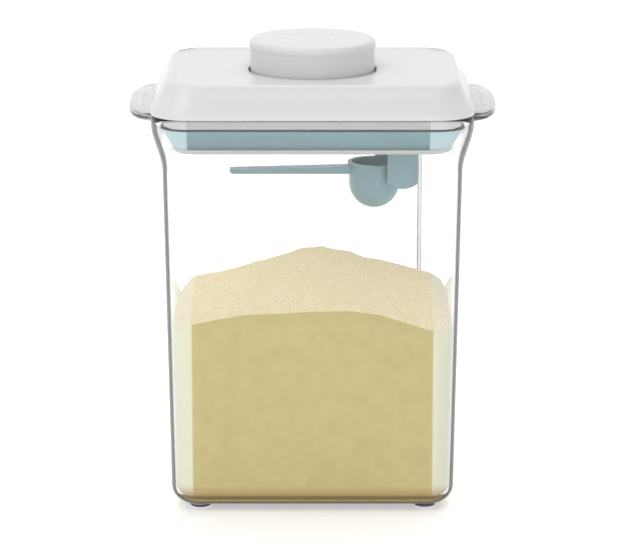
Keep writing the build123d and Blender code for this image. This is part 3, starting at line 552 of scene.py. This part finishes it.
# ---------------------------------------------------------------- powder
def surface(x, y):
    """Height of the powder: a ridge across the middle that falls to its lines on the front and back walls."""
    ridge = np.interp(
        x,
        [-71, -67.5, -62, -38, -19, -8, 0, 5, 9, 19, 30, 46, 62, 68, 71],
        [98, 103.5, 108, 114, 119.5, 123.4, 124.8, 125.6, 124.8, 122.5, 119, 115, 110.5, 107, 101],
    )
    front = np.interp(
        x,
        [-71, -56, -36, 0, 9, 29, 44, 59, 71],
        [97.4, 99.3, 103.4, 105.2, 106, 105, 100.3, 95.4, 94],
    )
    back = np.interp(x, [-71, -60, 0, 60, 71], [86.0, 95.0, 106.0, 95.0, 86.0])
    return ridge - (ridge - (front if y < 0 else back)) * min(1.0, abs(y) / 54.5) ** 1.35


rng = np.random.default_rng(7)
# the middle (x, y), the width and the height of each
bumps = [
    (rng.uniform(-70, 70), rng.uniform(-54, 54), rng.uniform(2.0, 7.0), rng.uniform(-0.5, 0.7))
    for _ in range(260)
]


def relief(x, y):
    """Small mounds and hollows left by scooping."""
    return sum(h * np.exp(-((x - bx) ** 2 + (y - by) ** 2) / (w * w)) for bx, by, w, h in bumps)


GAP = WALL + 0.15
rings = [ring(FLOOR_Z + 0.2, 40, 24, 4.0)]
for inset, z in floor_arc:
    half = wall_half(z)
    rings.append(ring(z + 0.2, half - GAP - inset, half - GAP - SIDE_GAP - inset, 11.4 - inset))
for z in (40, 65, 85):
    rings.append(wall_ring(z, GAP))
edge = []
for x, y, _ in wall_ring(100, GAP):
    z = surface(x, y) + 0.35 * relief(x, y)
    half = wall_half(z) / wall_half(100)
    edge.append((x * half, y * half, z))
rings.append(edge)
below = len(rings) - 1
for share in np.linspace(0.975, 0.02, 44):
    inner = []
    for x, y, _ in edge:
        px, py = x * share, y * share
        inner.append((px, py, surface(px, py) + relief(px, py) * min(1.0, 0.35 + 6 * (1 - share))))
    rings.append(inner)
verts, faces = capped(rings)
heap = piece("powder_heap", verts, faces, powder_wall, "container", "formula_powder", sharp=180.0)
heap.data.materials.append(powder_top)
for polygon in heap.data.polygons:
    if min(polygon.vertices) >= below * COUNT:
        polygon.material_index = 1

# ---------------------------------------------------------------- lid shell
LID_Z, LID_HALF, LID_CORNER = 203.3, 80.2, 20.0
FLOOR_TOP = 218.7
HOLE, CHAMFER = 32.6, 3.6


def lid_ring(z, inset, corner=None):
    half = LID_HALF - inset
    return ring(z, half, half - SIDE_GAP, LID_CORNER - 0.3 * inset if corner is None else corner)


# (rise over the lid's edge, inset) up the outside
outside = [
    (0.0, 0.35), (0.35, 0.0), (1.4, 0.0), (2.5, 0.05), (3.1, 0.4), (3.9, 1.0), (4.9, 1.75), (6.0, 2.6),
    (7.2, 3.5), (8.6, 4.35), (10.2, 5.1), (12.0, 5.8), (13.6, 6.35), (14.7, 6.9), (15.5, 7.6), (16.05, 8.5),
    (16.3, 9.5),
]
rings = [lid_ring(LID_Z + rise, inset) for rise, inset in outside]
# (z, inset, corner radius) down from the crest into the dish
dish = [
    (219.52, 10.1, 14.0), (219.3, 10.6, 13.0), (218.85, 12.5, 9.5), (218.76, 13.4, 8.2), (218.71, 14.6, 7.0),
    (FLOOR_TOP, 16.0, 6.0),
]
rings += [lid_ring(*point) for point in dish]
middle = ring(FLOOR_TOP, 52, 44, 10.0)
rings.append(middle)
angles = [np.arctan2(y, x) for x, y, _ in middle]


def hole_ring(radius, z):
    return [(radius * cos(a), radius * sin(a), z) for a in angles]


# (radius, z) through the button's hole, and down and up the well's wall below the dish
UNDER_DISH, WELL_Z, WELL_INNER, WELL_OUTER = FLOOR_TOP - 2.2, 209.0, 36.0, 37.6
hole = [
    (38.0, FLOOR_TOP), (HOLE + CHAMFER, FLOOR_TOP), (HOLE + CHAMFER - 0.3, FLOOR_TOP - 0.1),
    (HOLE + 0.3, FLOOR_TOP - 0.55), (HOLE, FLOOR_TOP - 0.75), (HOLE, UNDER_DISH),
    (WELL_INNER, UNDER_DISH), (WELL_INNER, WELL_Z), (WELL_OUTER, WELL_Z), (WELL_OUTER, UNDER_DISH),
]
rings += [hole_ring(radius, z) for radius, z in hole]
# back out and down the inside of the lid
rings += [lid_ring(UNDER_DISH, 14.0, 6.0), lid_ring(UNDER_DISH, 9.0, 15.0)]
rings += [lid_ring(LID_Z + rise, inset) for rise, inset in [(9.2, 7.1), (4.4, 3.5), (2.6, 2.2), (0, 2.2)]]
verts, faces = skin(rings)
piece("lid_top", verts, faces, white_gloss, "lid", "lid_shell", sharp=50.0)

# ---------------------------------------------------------------- seal
SEAL_TOP, SEAL_BOTTOM, SEAL_HALF, SEAL_INSIDE = 198.1, 187.1, 69.4, 63.3
# (z, inset) up the outside, which leans out
profile = [
    (SEAL_BOTTOM, 0.9), (187.35, 0.2), (187.9, 0.0), (190.0, -1.4), (192.5, -2.95), (195.0, -4.6),
    (196.8, -5.6), (197.5, -5.9), (197.95, -5.75), (SEAL_TOP, -5.2),
]
rings = [
    ring(z, SEAL_HALF - inset, SEAL_HALF - SIDE_GAP - inset, 10.5 - 0.8 * inset) for z, inset in profile
]
rings += [ring(z, SEAL_INSIDE, SEAL_INSIDE - SIDE_GAP, 9.0) for z in (SEAL_TOP, SEAL_BOTTOM)]
verts, faces = skin(rings)
seal = piece("seal_ring", verts, faces, silicone, "lid", "seal")
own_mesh(seal)

# ---------------------------------------------------------------- button
TOP = 233.8
profile = [(0, TOP - 0.02), (12.0, TOP - 0.01), (24.0, TOP), (28.6, TOP)]
profile += arc(29.7, TOP - 2.4, 2.4, 90, 0, 12)
profile += [(32.1, TOP - 3.2), (32.0, TOP - 3.8), (31.6, TOP - 4.6), (31.4, TOP - 5.4), (31.4, 213.4)]
# the flange that stops it under the lid, then the inside, with a collar for the spring
profile += [(35.2, 213.3), (35.2, 211.5), (29.2, 211.5), (29.2, TOP - 2.2), (16.0, TOP - 2.2)]
profile += [(16.0, TOP - 5.8), (14.2, TOP - 5.8), (14.2, TOP - 2.2), (0, TOP - 2.2)]
verts, faces = lathe(profile)
piece("button_top", verts, faces, white_gloss, "button", "button_cap")


def dots(name, places, radius, height, mat, body):
    """A row of low raised dots, as one piece. Each place is the middle of a dot's foot."""
    verts, faces = [], []
    for x, y, z in places:
        profile = [(0.0, z - 0.1), (radius, z - 0.1), (radius, z + 0.4 * height)]
        profile += [(0.8 * radius, z + 0.8 * height), (0.0, z + height)]
        dot_verts, dot_faces = lathe(profile, 20, (x, y))
        faces += [tuple(k + len(verts) for k in face) for face in dot_faces]
        verts += dot_verts
    return piece(name, verts, faces, mat, body)


dots("button_dots", [(x, 10.5, TOP) for x in range(-15, 16, 5)], 1.0, 0.2, white_gloss, "button")
for side, name in ((-1, "left"), (1, "right")):
    places = [(side * (86.6 - abs(y) / 22), y, RIM_Z) for y in range(-18, 19, 6)]
    dots(f"ear_dots_{name}", places, 1.3, 0.5, clear_raised, "container")


# ---------------------------------------------------------------- return spring
SPRING_Z, SPRING_LENGTH, BUTTON_TRAVEL = 192.6, 37.1, 12.0
turns, coil_radius, wire = 6.0, 11.0, 0.7
low, high = SPRING_Z + wire + 0.1, 229.7 - wire - 0.1
steps, around = int(turns * 40), 10
rings = []
for i in range(steps + 1):
    a = 2 * pi * turns * i / steps
    share = i / steps
    z = low + (high - low) * (share * share * (3 - 2 * share) * 0.15 + share * 0.85)
    rings.append(
        [
            (
                (coil_radius + wire * cos(b)) * cos(a),
                (coil_radius + wire * cos(b)) * sin(a),
                z + wire * sin(b),
            )
            for b in [2 * pi * k / around for k in range(around)]
        ]
    )
verts, faces = capped(rings)
spring = piece("spring_coil", verts, faces, steel, "lid", "return_spring")
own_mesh(spring)

# ---------------------------------------------------------------- CAD nodes that keep their own shape
LOOKS = {
    "inner_lid": inner_white,
    "pressure_plate": white_satin,
    "button_stem": white_satin,
    "scoop": teal,
    "scoop_holder": teal,
    "lid_screws": steel,
    "hook_screws": steel,
    "latch_wire": steel,
    "rocker_pin_left": steel,
    "rocker_pin_right": steel,
}
for name, obj in nodes.items():
    mat = LOOKS.get(name, white_satin)
    obj.data.materials.clear()
    obj.data.materials.append(mat)

# ---------------------------------------------------------------- floor, light and camera
bpy.ops.mesh.primitive_plane_add(size=14.0, location=(0, 0, -0.0002))
floor = bpy.context.object
floor.name = "floor"
# the floor glows a little, as a white studio sweep does
floor_mat = material("floor", (0.8, 0.8, 0.8), 0.14, Specular_IOR_Level=0.5)
floor_shader = floor_mat.node_tree.nodes["Principled BSDF"]
floor_shader.inputs["Emission Color"].default_value = (1, 1, 1, 1)
floor_shader.inputs["Emission Strength"].default_value = 0.42
floor.data.materials.append(floor_mat)


def area_light(name, location, target, size, power, size_y=None):
    data = bpy.data.lights.new(name, "AREA")
    data.energy = power
    data.size = size
    if size_y:
        data.shape = "RECTANGLE"
        data.size_y = size_y
    obj = bpy.data.objects.new(name, data)
    obj.location = location
    obj.rotation_euler = (Vector(target) - Vector(location)).to_track_quat("-Z", "Y").to_euler()
    bpy.context.scene.collection.objects.link(obj)
    return obj


area_light("key", (-0.9, -0.6, 1.4), (0, 0, 0.12), 0.9, 5.0)
area_light("top", (0.1, 0.7, 1.6), (0, 0, 0.15), 1.2, 4.1)
area_light("front", (0.3, -1.9, 0.55), (0, 0, 0.12), 1.2, 3.8)

world = bpy.data.worlds.new("studio")
bpy.context.scene.world = world
world.use_nodes = True
tree = world.node_tree
coords = tree.nodes.new("ShaderNodeTexCoord")
split = tree.nodes.new("ShaderNodeSeparateXYZ")
tree.links.new(coords.outputs["Generated"], split.inputs["Vector"])
side = tree.nodes.new("ShaderNodeMath")
side.operation = "ABSOLUTE"
tree.links.new(split.outputs["X"], side.inputs[0])
bands = tree.nodes.new("ShaderNodeValToRGB")
elements = bands.color_ramp.elements
elements[0].position, elements[0].color = 0.55, (1.0, 1.0, 1.0, 1)
elements[1].position, elements[1].color = 0.85, (0.9, 0.9, 0.9, 1)
tree.links.new(side.outputs[0], bands.inputs["Fac"])
rear = tree.nodes.new("ShaderNodeMapRange")
rear.inputs["From Min"].default_value = 0.1
rear.inputs["From Max"].default_value = 0.9
rear.inputs["To Min"].default_value = 0.78
rear.inputs["To Max"].default_value = 1.05
tree.links.new(split.outputs["Y"], rear.inputs["Value"])
tree.links.new(rear.outputs["Result"], tree.nodes["Background"].inputs["Strength"])
tree.links.new(bands.outputs["Color"], tree.nodes["Background"].inputs["Color"])

camera_data = bpy.data.cameras.new("camera")
camera = bpy.data.objects.new("camera", camera_data)
bpy.context.scene.collection.objects.link(camera)
CAMERA_DISTANCE, CAMERA_HEIGHT, CAMERA_TILT = 1.6, 0.504, 13.91  # metres, metres, degrees down
camera.location = (0.0, -CAMERA_DISTANCE, CAMERA_HEIGHT)
camera.rotation_euler = (radians(90 - CAMERA_TILT), 0, 0)
camera_data.sensor_width = 36.0
camera_data.lens = 180.3
camera_data.shift_x = 0.0117
camera_data.clip_end = 50.0
bpy.context.scene.camera = camera
bpy.context.scene.view_settings.view_transform = "Standard"
